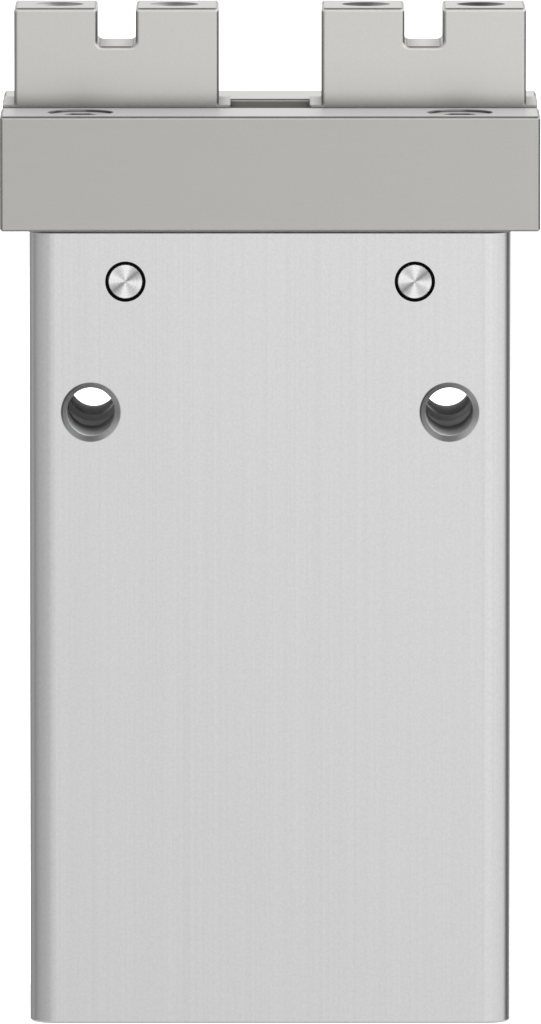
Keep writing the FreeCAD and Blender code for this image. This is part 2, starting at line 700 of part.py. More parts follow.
def make_right_jaw():
    body = new_body("right_jaw")
    side_sketch = sketch_on(body, "XZ")
    notch = "Sizes.notch_width / 2"
    notch_floor = "Places.jaw_top - Sizes.notch_depth"
    outline(
        side_sketch,
        (
            ("Places.jaw_inner", "Places.jaw_base"),
            ("Places.jaw_outer", "Places.jaw_base"),
            ("Places.jaw_outer", "Places.shoulder_top"),
            ("Places.finger_outer", "Places.shoulder_top"),
            ("Places.finger_outer", "Places.jaw_top"),
            (f"Places.finger_middle + {notch}", "Places.jaw_top"),
            (f"Places.finger_middle + {notch}", notch_floor),
            (f"Places.finger_middle - {notch}", notch_floor),
            (f"Places.finger_middle - {notch}", "Places.jaw_top"),
            ("Places.finger_inner", "Places.jaw_top"),
            ("Places.finger_inner", "Places.shoulder_top"),
            ("Places.jaw_inner", "Places.shoulder_top"),
        ),
    )
    plate = pad(body, side_sketch, "Sizes.jaw_thickness", both_ways=True)

    floor_z = value(notch_floor)
    shoulder_z = value("Places.shoulder_top")
    notch_corners = edge_names(plate, lambda e: along(e, Y_AXIS) and abs(e.CenterOfMass.z - floor_z) < 1e-6)
    hollow = dress(body, "Fillet", plate, notch_corners, Radius="Sizes.notch_radius")
    top_corners = edge_names(hollow, lambda e: along(e, Y_AXIS) and e.CenterOfMass.z > floor_z + 0.5)
    eased = dress(body, "Chamfer", hollow, top_corners, Size="Sizes.jaw_edge")
    face_y = value("Sizes.jaw_thickness / 2")

    def on_finger_face(edge):
        box = edge.BoundBox
        return box.YLength < 1e-6 and abs(abs(box.YMin) - face_y) < 1e-6 and box.ZMax > shoulder_z + 0.01

    dress(body, "Chamfer", eased, edge_names(eased, on_finger_face), Size="Sizes.jaw_edge")

    groove_sketch = sketch_on(body, "YZ", z="(Places.jaw_inner + Places.jaw_outer) / 2")
    roller_grooves(groove_sketch)
    pocket(body, groove_sketch, "Places.jaw_outer - Places.jaw_inner", both_ways=True)

    lever_sketch = sketch_on(body, "XY", z="Places.jaw_base")
    rectangle(
        lever_sketch,
        "Sizes.upper_tip + 2 * Sizes.tip_play",
        "Sizes.lever_thickness + Sizes.chamber_gap",
        "Places.jaw_pocket_x",
    )
    pocket(body, lever_sketch, "Sizes.tip_reach + Sizes.upper_tip / 2 + Sizes.tip_clear", upward=True)

    for side in SIDES:
        blind_thread(
            body,
            f"Places.finger_middle + {side} * Sizes.jaw_hole_spacing / 2",
            "0",
            "Places.jaw_top",
            "Sizes.jaw_thread_core",
            "Sizes.jaw_thread_mouth",
            "Sizes.jaw_thread_depth",
        )
    return body


def make_right_lever():
    """A bell crank about its pin: one arm up into the jaw, one in towards the piston rod."""
    body = new_body("right_lever")
    hub_sketch = sketch_on(body, "XZ")
    circle(hub_sketch, "Sizes.lever_hub")
    pad(body, hub_sketch, "Sizes.lever_thickness", both_ways=True)

    root, neck = "Sizes.lever_root / 2", "Sizes.lever_neck / 2"

    def arm_points(length):
        """Half widths and distances from the pin, up one side of an arm and down the other."""
        stations = (("0", root), (f"{length} - Sizes.neck_length", neck), (length, neck))
        there = [(half, distance) for distance, half in stations]
        back = [(f"-{half}", distance) for distance, half in reversed(stations)]
        return there + back

    upper_sketch = sketch_on(body, "XZ")
    outline(upper_sketch, arm_points("Places.upper_arm"))
    inner_sketch = sketch_on(body, "XZ")
    outline(inner_sketch, [(f"-({far})", half) for half, far in arm_points("Places.inner_arm")])
    upper_tip = sketch_on(body, "XZ")
    circle(upper_tip, "Sizes.upper_tip", "0", "Places.upper_arm")
    inner_tip = sketch_on(body, "XZ")
    circle(inner_tip, "Sizes.inner_tip", "-Places.inner_arm", "0")
    for profile in (upper_sketch, inner_sketch, upper_tip, inner_tip):
        pad(body, profile, "Sizes.lever_thickness", both_ways=True)

    eye_sketch = sketch_on(body, "XZ")
    circle(eye_sketch, "Sizes.pin_diameter + 2 * Sizes.hinge_play")
    pocket(body, eye_sketch, "2 * Sizes.lever_thickness", both_ways=True)
    body.Placement = FreeCAD.Placement(Vector(), FreeCAD.Rotation(Y_AXIS, 1))
    bind(body, **{"Placement.Rotation.Angle": "Places.swing"})
    return put(body, x="Places.pin_x", z="Places.pin_z")


def make_right_lever_pin():
    half = "Sizes.housing_depth / 2 - Sizes.pin_sink"
    shoulder = f"{half} - Sizes.pin_bevel"
    body = turned(
        "right_lever_pin",
        (
            ("0", f"-({half})"),
            ("Sizes.pin_diameter / 2 - Sizes.pin_bevel", f"-({half})"),
            ("Sizes.pin_diameter / 2", f"-({shoulder})"),
            ("Sizes.pin_diameter / 2", shoulder),
            ("Sizes.pin_diameter / 2 - Sizes.pin_bevel", half),
            ("0", half),
        ),
    )
    body.Placement = FreeCAD.Placement(Vector(), FreeCAD.Rotation(X_AXIS, 90))
    return put(body, x="Places.pin_x", z="Places.pin_z")


def make_pin_seals():
    inner = "Sizes.pin_diameter / 2"
    outer = "Sizes.pin_diameter / 2 + Sizes.pin_ring_wall"
    low, high = "-Sizes.pin_ring_depth", "-Sizes.pin_ring_sink"
    ring = turned("pin_seal", ((inner, low), (outer, low), (outer, high), (inner, high)))
    ring.Placement = FreeCAD.Placement(Vector(), FreeCAD.Rotation(X_AXIS, 90))
    put(ring, "Places.pin_x", "-Sizes.housing_depth / 2", "Places.pin_z")
    return four_ways("pin_seals", [ring])


def make_right_rollers():
    """Two rows of rollers, one on each side of the jaw, each leaning the other way than the one before."""
    reach = "Sizes.roller_length / sqrt(8)"
    members = []
    for place in range(round(value("Sizes.roller_count"))):
        lean = 1 if place % 2 else -1
        roller = doc.addObject("Part::Cylinder", "roller")
        bind(roller, Radius="Sizes.roller_diameter / 2", Height="Sizes.roller_length")
        roller.Placement = FreeCAD.Placement(Vector(), FreeCAD.Rotation(X_AXIS, 45 * lean))
        step = f"({place} - (Sizes.roller_count - 1) / 2) * Places.roller_pitch"
        put(
            roller,
            f"Places.roller_middle + {step}",
            f"Places.roller_y + {lean} * {reach}",
            f"Places.roller_z - {reach}",
        )
        members += [roller, mirror(roller, Y_AXIS)]
    return group("right_rollers", members)


def make_roller_stops():
    foot = ("Places.stop_x", "Places.stop_y", "Sizes.housing_height")
    stop = round_bar("roller_stop", "Sizes.stop_diameter", "Places.stop_height", *foot)
    return four_ways("roller_stops", [stop])


def make_piston_rod():
    radius = "Sizes.rod_diameter / 2"
    body = turned(
        "piston_rod",
        (
            ("0", "Places.piston_low"),
            ("Sizes.rod_spigot / 2", "Places.piston_low"),
            ("Sizes.rod_spigot / 2", "Places.piston_high"),
            (radius, "Places.piston_high"),
            (radius, "Places.rod_top - Sizes.rod_bevel"),
            (f"{radius} - Sizes.rod_bevel", "Places.rod_top"),
            ("0", "Places.rod_top"),
        ),
    )
    notch_sketch = sketch_on(body, "XZ")
    half = "Sizes.inner_tip / 2 + Sizes.tip_play"
    low, high = f"Places.rod_notch_z - ({half})", f"Places.rod_notch_z + ({half})"
    for side in SIDES:
        near, far = f"{side} * Places.rod_notch_x", f"{side} * Sizes.rod_diameter"
        outline(notch_sketch, ((near, low), (far, low), (far, high), (near, high)))
    pocket(body, notch_sketch, "2 * Sizes.rod_diameter", both_ways=True)
    return body


# The piston's grooves from its top down: seal, then magnet, each after one wall.
SEAL_GROOVE = "Sizes.piston_seal_section + 2 * Sizes.seal_play"
SEAL_HIGH = "Places.piston_high - Sizes.piston_land"
SEAL_LOW = f"{SEAL_HIGH} - ({SEAL_GROOVE})"
SEAL_INNER = "Sizes.bore_diameter / 2 - Sizes.seal_play - Sizes.piston_seal_section"
MAGNET_HIGH = f"{SEAL_LOW} - Sizes.piston_land"
MAGNET_LOW = f"{MAGNET_HIGH} - Sizes.magnet_height"
MAGNET_OUTER = "Sizes.bore_diameter / 2 - 2 * Sizes.piston_play"
MAGNET_INNER = f"{MAGNET_OUTER} - Sizes.magnet_wall"


def make_piston():
    skirt = "Sizes.bore_diameter / 2 - Sizes.piston_play"
    spigot = "Sizes.rod_spigot / 2"
    grooves = ((SEAL_HIGH, SEAL_LOW, SEAL_INNER), (MAGNET_HIGH, MAGNET_LOW, MAGNET_INNER))
    points = [(spigot, "Places.piston_low"), (spigot, "Places.piston_high"), (skirt, "Places.piston_high")]
    for high, low, floor in grooves:
        points += [(skirt, high), (floor, high), (floor, low), (skirt, low)]
    points.append((skirt, "Places.piston_low"))
    return turned("piston", points)


def flat_ring(label, inner, outer, low, high):
    return turned(label, ((inner, low), (outer, low), (outer, high), (inner, high)))


def make_rod_seal():
    """A lip seal with its hollow towards the cylinder."""
    inner = "Sizes.rod_diameter / 2 + Sizes.seal_play"
    outer = "Sizes.rod_seal_diameter / 2"
    third = f"({outer} - ({inner})) / 3"
    return turned(
        "rod_seal",
        (
            (inner, "Places.bore_top"),
            (f"{inner} + {third}", "Places.bore_top"),
            (f"({inner} + {outer}) / 2", "Places.bore_top + Sizes.rod_seal_height / 2"),
            (f"{outer} - {third}", "Places.bore_top"),
            (outer, "Places.bore_top"),
            (outer, "Places.rod_seal_top"),
            (inner, "Places.rod_seal_top"),
        ),
    )


CAP_SEAL_Z = "(Places.ring_high + Places.cap_top) / 2"
CAP_SEAL_INNER = "Sizes.cap_diameter / 2 - Sizes.cap_seal_section"


def make_end_cap():
    outer = "Sizes.cap_diameter / 2"
    half = "Sizes.cap_seal_section / 2"
    dish = "Sizes.cap_dish_diameter / 2"
    return turned(
        "end_cap",
        (
            ("0", "Places.ring_high + Sizes.cap_dish"),
            (dish, "Places.ring_high + Sizes.cap_dish"),
            (dish, "Places.ring_high"),
            (outer, "Places.ring_high"),
            (outer, f"{CAP_SEAL_Z} - {half}"),
            (CAP_SEAL_INNER, f"{CAP_SEAL_Z} - {half}"),
            (CAP_SEAL_INNER, f"{CAP_SEAL_Z} + {half}"),
            (outer, f"{CAP_SEAL_Z} + {half}"),
            (outer, "Places.cap_top"),
            ("0", "Places.cap_top"),
        ),
    )


def make_snap_ring():
    """An open ring in its groove under the end cap, with an eye at each end."""
    body = new_body("snap_ring")
    low = "Places.ring_high - Sizes.ring_thickness"
    outer = "Sizes.ring_groove_diameter - 2 * Sizes.ring_play"
    band_sketch = sketch_on(body, "XY", z=low)
    circle(band_sketch, outer)
    circle(band_sketch, f"{outer} - 2 * Sizes.ring_band")
    pad(body, band_sketch, "Sizes.ring_thickness")

    # The eyes touch the ring's outer edge from inside, on both sides of its opening.
    lug_x = "(Sizes.ring_opening + Sizes.ring_lug) / 2"
    lug_y = f"-sqrt((({outer} - Sizes.ring_lug) / 2)^2 - ({lug_x})^2)"
    for side in SIDES:
        lug_sketch = sketch_on(body, "XY", z=low)
        circle(lug_sketch, "Sizes.ring_lug", f"{side} * {lug_x}", lug_y)
        pad(body, lug_sketch, "Sizes.ring_thickness")

    opening_sketch = sketch_on(body, "XY", z=low)
    rectangle(opening_sketch, "Sizes.ring_opening", "2 * Sizes.ring_lug", y=lug_y)
    pocket(body, opening_sketch, "Sizes.ring_thickness", upward=True)
    eye_sketch = sketch_on(body, "XY", z=low)
    for side in SIDES:
        circle(eye_sketch, "Sizes.ring_eye", f"{side} * {lug_x}", lug_y)
    pocket(body, eye_sketch, "Sizes.ring_thickness", upward=True)
    return body


right_jaw = make_right_jaw()
right_lever = make_right_lever()
right_lever_pin = make_right_lever_pin()
right_rollers = make_right_rollers()
ROD_CLEAR = "Sizes.rod_diameter / 2 + Sizes.bumper_bore_gap"

nodes = [
    make_housing(),
    make_guide_rail(),
    make_rail_screws(),
    make_dowel_pins(),
    make_roller_stops(),
    right_lever_pin,
    named_mirror("left_lever_pin", right_lever_pin),
    make_pin_seals(),
    right_jaw,
    named_mirror("left_jaw", right_jaw),
    right_rollers,
    named_mirror("left_rollers", right_rollers),
    right_lever,
    named_mirror("left_lever", right_lever),
    make_piston_rod(),
    make_piston(),
    flat_ring(
        "piston_seal",
        SEAL_INNER,
        f"{SEAL_INNER} + Sizes.piston_seal_section",
        f"{SEAL_LOW} + Sizes.seal_play",
        f"{SEAL_HIGH} - Sizes.seal_play",
    ),
    flat_ring("magnet_ring", MAGNET_INNER, MAGNET_OUTER, MAGNET_LOW, MAGNET_HIGH),
    make_rod_seal(),
    flat_ring(
        "seal_retainer",
        ROD_CLEAR,
        "Sizes.bore_diameter / 2",
        "Places.retainer_low",
        "Places.bore_top",
    ),
    flat_ring(
        "upper_bumper",
        ROD_CLEAR,
        "Sizes.upper_bumper_diameter / 2",
        "Places.upper_bumper_low",
        "Places.retainer_low",
    ),
    flat_ring(
        "lower_bumper",
        "0",
        "Sizes.lower_bumper_diameter / 2",
        "Places.cap_top",
        "Places.lower_bumper_top",
    ),
    make_end_cap(),
    flat_ring(
        "cap_seal",
        CAP_SEAL_INNER,
        f"{CAP_SEAL_INNER} + Sizes.cap_seal_section - Sizes.seal_play",
        f"{CAP_SEAL_Z} - Sizes.cap_seal_section / 2",
        f"{CAP_SEAL_Z} + Sizes.cap_seal_section / 2",
    ),
    make_snap_ring(),
]
doc.recompute()

os.makedirs("parts", exist_ok=True)
for item in doc.Objects:
    if "Invalid" in item.State or "Error" in item.State:
        raise ValueError(f"{item.Label} did not compute")
for node in nodes:
    if node.Shape.isNull() or not node.Shape.isValid():
        raise ValueError(f"{node.Label} has no valid shape")
    node.Shape.exportStep(f"parts/{node.Label}.step")
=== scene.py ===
import json
import math

import bmesh
import bpy
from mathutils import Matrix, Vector


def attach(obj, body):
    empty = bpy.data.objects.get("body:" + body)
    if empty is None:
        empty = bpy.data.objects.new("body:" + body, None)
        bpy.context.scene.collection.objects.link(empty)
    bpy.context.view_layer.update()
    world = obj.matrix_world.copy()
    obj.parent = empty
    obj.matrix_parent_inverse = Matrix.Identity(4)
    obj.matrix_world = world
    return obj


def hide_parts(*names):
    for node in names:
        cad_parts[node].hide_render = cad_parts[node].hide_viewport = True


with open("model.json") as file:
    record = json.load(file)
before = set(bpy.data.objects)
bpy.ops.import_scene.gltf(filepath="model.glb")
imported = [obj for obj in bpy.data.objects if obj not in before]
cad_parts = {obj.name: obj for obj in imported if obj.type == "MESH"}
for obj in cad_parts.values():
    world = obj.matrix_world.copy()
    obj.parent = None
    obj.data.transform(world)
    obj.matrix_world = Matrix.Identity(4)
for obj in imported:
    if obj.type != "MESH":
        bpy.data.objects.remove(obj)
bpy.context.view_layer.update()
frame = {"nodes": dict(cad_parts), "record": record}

MM = 0.001
WHITE = (1.0, 1.0, 1.0, 1.0)
scene = bpy.context.scene
scene.view_settings.view_transform = "Standard"
scene.view_settings.look = "None"
nodes = frame["nodes"]


# Camera: a long lens a little above the jaws, straight at the front.
AIM = Vector((0.02, 0.0, 25.93)) * MM
CAMERA_DISTANCE = 886.1 * MM
CAMERA_ELEVATION = math.radians(6.2714)
FOCAL_LENGTH = 594.9
SENSOR_WIDTH = 36.0
NEAR_CLIP = 0.01
FAR_CLIP = 20.0
back = Vector((0.0, -math.cos(CAMERA_ELEVATION), math.sin(CAMERA_ELEVATION)))
lens = bpy.data.cameras.new("camera")
lens.lens = FOCAL_LENGTH
lens.sensor_width = SENSOR_WIDTH
lens.clip_start = NEAR_CLIP
lens.clip_end = FAR_CLIP
camera = bpy.data.objects.new("camera", lens)
camera.location = AIM + back * CAMERA_DISTANCE
camera.rotation_mode = "QUATERNION"
camera.rotation_quaternion = (-back).to_track_quat("-Z", "Y")
scene.collection.objects.link(camera)
scene.camera = camera


class Tree:
    """A short way to make shader nodes and join them."""

    def __init__(self, tree):
        self.tree = tree
        tree.nodes.clear()

    def add(self, kind, settings=None, **inputs):
        """A new node. An underscore in an input's name stands for a space."""
        node = self.tree.nodes.new("ShaderNode" + kind)
        for name, value in (settings or {}).items():
            setattr(node, name, value)
        for name, value in inputs.items():
            self.feed(node.inputs[name.replace("_", " ")], value)
        return node

    def feed(self, socket, value):
        """Link a socket to another one, or set its own value."""
        if isinstance(value, bpy.types.NodeSocket):
            self.tree.links.new(value, socket)
        else:
            socket.default_value = value

    def show(self, shader, kind="OutputMaterial"):
        """Send a shader to the tree's output."""
        output = self.add(kind)
        self.feed(output.inputs["Surface"], shader.outputs[0])

    def maths(self, operation, first, second=0.0):
        node = self.add("Math", {"operation": operation})
        self.feed(node.inputs[0], first)
        self.feed(node.inputs[1], second)
        return node.outputs[0]

    def total(self, operation, *values):
        """All the values joined by one operation."""
        result = values[0]
        for value in values[1:]:
            result = self.maths(operation, result, value)
        return result

    def hypotenuse(self, first, second):
        first_square = self.maths("POWER", first, 2.0)
        second_square = self.maths("POWER", second, 2.0)
        return self.maths("SQRT", self.maths("ADD", first_square, second_square))

    def reach(self, sideways, up, direction, length):
        """How far a point lies in a direction, as a share of a length."""
        return self.maths(
            "ADD",
            self.maths("MULTIPLY", sideways, direction[0] / length),
            self.maths("MULTIPLY", up, direction[1] / length),
        )

    def blend(self, factor, first, second):
        """The first value where the factor is 0, the second where it is 1."""
        return self.add("Mix", {"data_type": "FLOAT"}, Factor=factor, A=first, B=second).outputs[0]

    def noise(self, coordinates, stretch, detail):
        """Noise over coordinates, with one number of features per metre for each axis."""
        mapping = self.add("Mapping", Vector=coordinates, Scale=stretch)
        texture = self.add("TexNoise", Vector=mapping.outputs[0], Scale=1.0, Detail=detail, Roughness=0.5)
        return texture.outputs["Fac"]

    def spread(self, value, low, high, start=0.25, end=0.75):
        """A value from one range laid over another and held at its ends."""
        node = self.add("MapRange", Value=value)
        node.inputs["From Min"].default_value = start
        node.inputs["From Max"].default_value = end
        node.inputs["To Min"].default_value = low
        node.inputs["To Max"].default_value = high
        return node.outputs[0]

    def ramp(self, value, stops):
        """Grey levels at positions from 0 to 1, joined by straight lines."""
        node = self.add("ValToRGB", Fac=value)
        elements = node.color_ramp.elements
        while len(elements) < len(stops):
            elements.new(0.5)
        for element, (position, level) in zip(elements, stops):
            element.position = position
            element.color = (level, level, level, 1.0)
        return node.outputs["Color"]

    def shade(self, colour, factor):
        """A colour times a number that varies over the surface."""
        node = self.add("VectorMath", {"operation": "SCALE"})
        node.inputs[0].default_value = colour
        self.feed(node.inputs["Scale"], factor)
        return node.outputs[0]


def new_material(name):
    material = bpy.data.materials.new(name)
    material.use_nodes = True
    return material, Tree(material.node_tree)


# Where the painted shades and highlights along a softened edge start and end, in parts of the normal there.
# Its Z is 0 on a wall and 1 on a level face, and its X is below 0 on the left.
BEVEL_STEP = 0.06
BEVEL_END = (0.92, 0.985)
LOWER_START = 0.62
CREST_START = (0.03, 0.15)
CREST_STEP = 0.04
TOP_FACE = (0.90, 0.99)
LEFT_SIDE = (-0.1, 0.0)
# The same for upright edges, in parts of the normal's X times its Y, which is 0.5 in such an edge's middle.
RIGHT_CORNER = (0.448, 0.499)
LEFT_CORNER = (0.04, 0.24)


def bevel_shade(tree, slope, shade, start):
    """A painted shade across a bevel, where the slope lies between that of a wall and that of a level face.
    """
    off_wall = tree.spread(slope, 1.0, shade, start, start + BEVEL_STEP)
    off_level = tree.spread(slope, shade, 1.0, *BEVEL_END)
    return tree.maths("MAXIMUM", off_wall, off_level)


def edge_shades(tree, facing, bevels):
    """The painted shade of all bevels, and the painted highlight on the walls just below the upper ones."""
    slope = facing.outputs["Z"]
    crest_end = bevels["crest_end"]
    upper_shade = bevel_shade(tree, slope, bevels["shade"], crest_end)
    lower_shade = bevel_shade(tree, tree.maths("MULTIPLY", slope, -1.0), bevels["lower"], LOWER_START)
    corner = tree.maths("ABSOLUTE", tree.maths("MULTIPLY", facing.outputs["X"], facing.outputs["Y"]))
    right_shade = tree.spread(corner, 1.0, bevels["shade"], *RIGHT_CORNER)
    left_shade = tree.spread(corner, 1.0, bevels["left"], *LEFT_CORNER)
    leftward = tree.spread(facing.outputs["X"], 1.0, 0.0, *LEFT_SIDE)
    upright_shade = tree.blend(leftward, right_shade, left_shade)
    crest_rise = tree.spread(slope, 0.0, bevels["crest_light"], *CREST_START)
    crest_fall = tree.spread(slope, 1.0, 0.0, crest_end - CREST_STEP, crest_end + CREST_STEP)
    crest = tree.maths("MULTIPLY", crest_rise, crest_fall)
    shade = tree.total("MINIMUM", upper_shade, lower_shade, upright_shade)
    return shade, tree.maths("ADD", crest, 1.0)


def hole_shade(tree, axes, holes):
    """Painted shade and light in two upright holes on each side, dim towards the part's middle, lit away from
    it.
    """
    radius = holes["radius"] * MM
    off_middle = tree.maths("SUBTRACT", tree.maths("ABSOLUTE", axes.outputs["X"]), holes["middle"] * MM)
    hole_middle = tree.maths("MULTIPLY", tree.maths("SIGN", off_middle), holes["spacing"] / 2.0 * MM)
    outward = tree.maths("SUBTRACT", off_middle, hole_middle)
    distance = tree.hypotenuse(outward, axes.outputs["Y"])
    within = tree.spread(distance, 1.0, 0.0, radius, (holes["radius"] + holes["step"]) * MM)
    dim_side = tree.spread(outward, holes["dim"], holes["shade"], -radius, 0.0)
    lit_side = tree.spread(outward, 1.0, holes["lit"], 0.0, radius)
    lean = tree.maths("ADD", tree.maths("MULTIPLY", axes.outputs["X"], holes["lean"]), 1.0)
    change = tree.maths("SUBTRACT", tree.total("MULTIPLY", dim_side, lit_side, lean), 1.0)
    return tree.maths("ADD", tree.maths("MULTIPLY", within, change), 1.0)


def bore_shade(tree, axes, bore):
    """Painted shade and highlights in two cross bores, a mask of their walls, and one that fades inwards from
    the front.
    """
    mouth, radius, step = bore["mouth"] * MM, bore["radius"] * MM, bore["step"] * MM
    depth = axes.outputs["Y"]
    side = tree.maths("SIGN", axes.outputs["X"])
    sideways = tree.maths("SUBTRACT", axes.outputs["X"], tree.maths("MULTIPLY", side, bore["x"] * MM))
    up = tree.maths("SUBTRACT", axes.outputs["Z"], bore["z"] * MM)
    distance = tree.hypotenuse(sideways, up)
    within_mouth = tree.spread(distance, 1.0, 0.0, mouth - step, mouth + step)
    inside = tree.spread(distance, 1.0, 0.0, radius, radius + step)

    # Painted shade on the chamfer, lighter to the right, with a painted shadow along its upper left rim.
    even_chamfer = tree.spread(sideways, bore["chamfer_left"], bore["chamfer_right"], -mouth, mouth)
    rim_start, rim_end = bore["rim_depths"]
    shaded_side = tree.reach(sideways, up, bore["rim_side"], mouth)
    rim = tree.maths(
        "MULTIPLY",
        tree.spread(distance, 0.0, 1.0, mouth - rim_start * MM, mouth - rim_end * MM),
        tree.spread(shaded_side, 0.0, 1.0, *bore["rim_arc"]),
    )
    chamfer = tree.maths("MULTIPLY", even_chamfer, tree.blend(rim, 1.0, bore["rim"]))

    near = tree.spread(depth, 1.0, 0.0, bore["front"] * MM, (bore["front"] + bore["bright"]) * MM)
    # Painted highlights on the wall near the front and further in; the rest of the wall gets painted shade.
    toward_light = tree.reach(sideways, up, bore["gleam_side"], radius)
    facing_light = tree.maths("POWER", tree.maths("MAXIMUM", toward_light, 0.0), bore["gleam_power"])
    gleam = tree.total("MULTIPLY", near, facing_light, bore["gleam"])
    far = tree.maths(
        "MULTIPLY",
        tree.spread(depth, 0.0, 1.0, *(place * MM for place in bore["far_start"])),
        tree.spread(depth, 1.0, 0.0, *(place * MM for place in bore["far_end"])),
    )
    inward = tree.maths("MULTIPLY", tree.maths("MULTIPLY", side, sideways), -1.0)
    far_light = tree.spread(inward, 0.0, bore["far_gleam"], bore["far_side"] * radius, radius)
    far_gleam = tree.maths("MULTIPLY", far, far_light)
    wall = tree.maths("MULTIPLY", tree.total("ADD", gleam, far_gleam, 1.0), bore["wall"])
    return tree.blend(within_mouth, 1.0, tree.blend(inside, chamfer, wall)), inside, near


CONTACT_REACH = 1.0 * MM
PAINTED_LEAN_HEIGHT = 20.0 * MM
ROUGHNESS_RANGE = (0.92, 1.08)
RAY_SAMPLES = 6
EXTRUDED = ((9500.0, 9500.0, 22.0), 0.031)
GROUND = ((160.0, 3000.0, 3000.0), 0.010)
EVEN = ((2500.0, 2500.0, 2500.0), 0.015)
FINE_SPECKLE = ((8000.0, 8000.0, 8000.0), 0.018)
MATT_SPECKLE = ((8000.0, 8000.0, 8000.0), 0.040)


def surface_material(
    name, colour, metallic, roughness, bump, grain=EVEN, speckle=FINE_SPECKLE, edge=0.0, bevels=None,
    painted_top_light=None, bore=None, drilled=None, alone=False, painted_contact_shade=(0.4, 0.5, 0.86), lean=None, extra=None,
):
    """A finish with grain and speckle in its colour and relief, grain in its roughness, and painted shade and
    light.

    Grain and speckle are pairs of (features per metre along X, Y, Z) and strength. Bump is the strength and
    the depth of the relief. Edge is the radius, in mm, over which corners are softened, and bevels are the
    painted shades and highlights along them. The top gain is a colour added to level faces where there are
    bevels, as painted light. Bore is a pair of cross bores with painted shade and highlights, bright near the
    front and dark further in, and drilled is the painted shade and light in the upright holes. Contact is the
    deepest painted shade where surfaces meet, the openness up to which it holds, and the openness from which
    there is none. A finish that is alone paints that shade only towards its own piece. The lean is painted
    light: how much lighter the colour gets per metre to the right, and upwards from the lean height. Extra
    sets more of the shader's sockets.
    """
    material, tree = new_material(name)
    place = tree.add("TexCoord").outputs["Object"]
    grain_noise = tree.noise(place, grain[0], detail=3.0)
    speckle_noise = tree.noise(place, speckle[0], detail=1.0)
    tint = tree.maths(
        "MULTIPLY",
        tree.spread(grain_noise, 1.0 - grain[1], 1.0 + grain[1]),
        tree.spread(speckle_noise, 1.0 - speckle[1], 1.0 + speckle[1]),
    )
    # Painted shade: the colour gets darker where the ambient occlusion finds surfaces meeting.
    contact_settings = {"samples": RAY_SAMPLES, "only_local": alone}
    openness = tree.add("AmbientOcclusion", contact_settings, Distance=CONTACT_REACH).outputs["AO"]
    deepest, start, end = painted_contact_shade
    tint = tree.maths("MULTIPLY", tint, tree.spread(openness, deepest, 1.0, start, end))
    axes = tree.add("SeparateXYZ", Vector=place)
    # Painted light: the colour gets lighter to the right and upwards.
    if lean:
        rightward = tree.maths("MULTIPLY", axes.outputs["X"], lean[0])
        upward = tree.maths("MULTIPLY", tree.maths("SUBTRACT", axes.outputs["Z"], PAINTED_LEAN_HEIGHT), lean[1])
        tint = tree.maths("MULTIPLY", tint, tree.total("ADD", rightward, upward, 1.0))
    if edge:
        softened = tree.add("Bevel", {"samples": RAY_SAMPLES}, Radius=edge * MM).outputs[0]
    # Painted shade along the bevels, lighter on left-facing ones, and a painted highlight below the upper
    # ones.
    if bevels:
        facing = tree.add("SeparateXYZ", Vector=softened)
        tint = tree.total("MULTIPLY", tint, *edge_shades(tree, facing, bevels))
    # Painted shade and light in the jaws' upright holes.
    if drilled:
        tint = tree.maths("MULTIPLY", tint, hole_shade(tree, axes, drilled))
    # Painted shade, a painted shadow along the rim and painted highlights in the housing's cross bores.
    if bore:
        shade, inside, near = bore_shade(tree, axes, bore)
        tint = tree.maths("MULTIPLY", tint, shade)
        metallic = tree.blend(inside, metallic, tree.maths("MULTIPLY", near, bore["metallic"] * metallic))
    surface = tree.shade(colour, tint)
    # Painted light: level faces on top get a lighter, cooler colour.
    if painted_top_light:
        level = tree.spread(facing.outputs["Z"], 0.0, 1.0, *TOP_FACE)
        gain = tree.shade(painted_top_light, tree.maths("MULTIPLY", tint, level))
        gained = tree.add("VectorMath", {"operation": "ADD"})
        tree.feed(gained.inputs[0], surface)
        tree.feed(gained.inputs[1], gain)
        surface = gained.outputs[0]
    rough = tree.maths("MULTIPLY", tree.spread(grain_noise, *ROUGHNESS_RANGE), roughness)
    height = tree.maths("ADD", grain_noise, speckle_noise)
    relief = tree.add("Bump", Height=height, Strength=bump[0], Distance=bump[1])
    if edge:
        tree.feed(relief.inputs["Normal"], softened)
    shader = tree.add(
        "BsdfPrincipled",
        Base_Color=surface,
        Metallic=metallic,
        Roughness=rough,
        Normal=relief.outputs[0],
    )
    for socket, value in (extra or {}).items():
        shader.inputs[socket].default_value = value
    tree.show(shader)
    return material


# Places, radii, steps and depths are in mm. The painted shades, the painted shadow of the rim and the painted
# highlights (gleams) multiply the finish's own brightness, a side is a direction (to the right, upwards), and
# the lean is a painted change in lightness per metre to the right.
mount_bores = {
    "x": 9.3, "z": 32.0, "radius": 1.25, "mouth": 1.55, "step": 0.03, "front": -7.2, "bright": 3.4,
    "chamfer_left": 0.45, "chamfer_right": 0.72, "wall": 0.47, "metallic": 0.5,
    "rim": 0.33, "rim_depths": (0.13, 0.06), "rim_side": (-0.94, 0.34), "rim_arc": (0.50, 0.90),
    "gleam": 2.2, "gleam_side": (-0.6, -0.8), "gleam_power": 4.0,
    "far_gleam": 3.0, "far_side": 0.35, "far_start": (-0.3, 0.3), "far_end": (2.0, 5.0),
}
# Painted shade and light in the jaws' holes, lighter to the left by the lean.
jaw_holes = {
    "middle": 8.0, "spacing": 6.0, "radius": 1.24, "step": 0.04,
    "dim": 0.34, "shade": 0.62, "lit": 1.6, "lean": -45.0,
}
# Painted shade and highlights along the bevels of the rail and the jaws.
rail_bevels = {"shade": 0.25, "left": 0.45, "lower": 0.46, "crest_light": 0.38, "crest_end": 0.65}
jaw_bevels = {"shade": 0.30, "left": 0.66, "lower": 1.0, "crest_light": 0.34, "crest_end": 0.69}
NO_GLOSS = {"Specular IOR Level": 0.0}
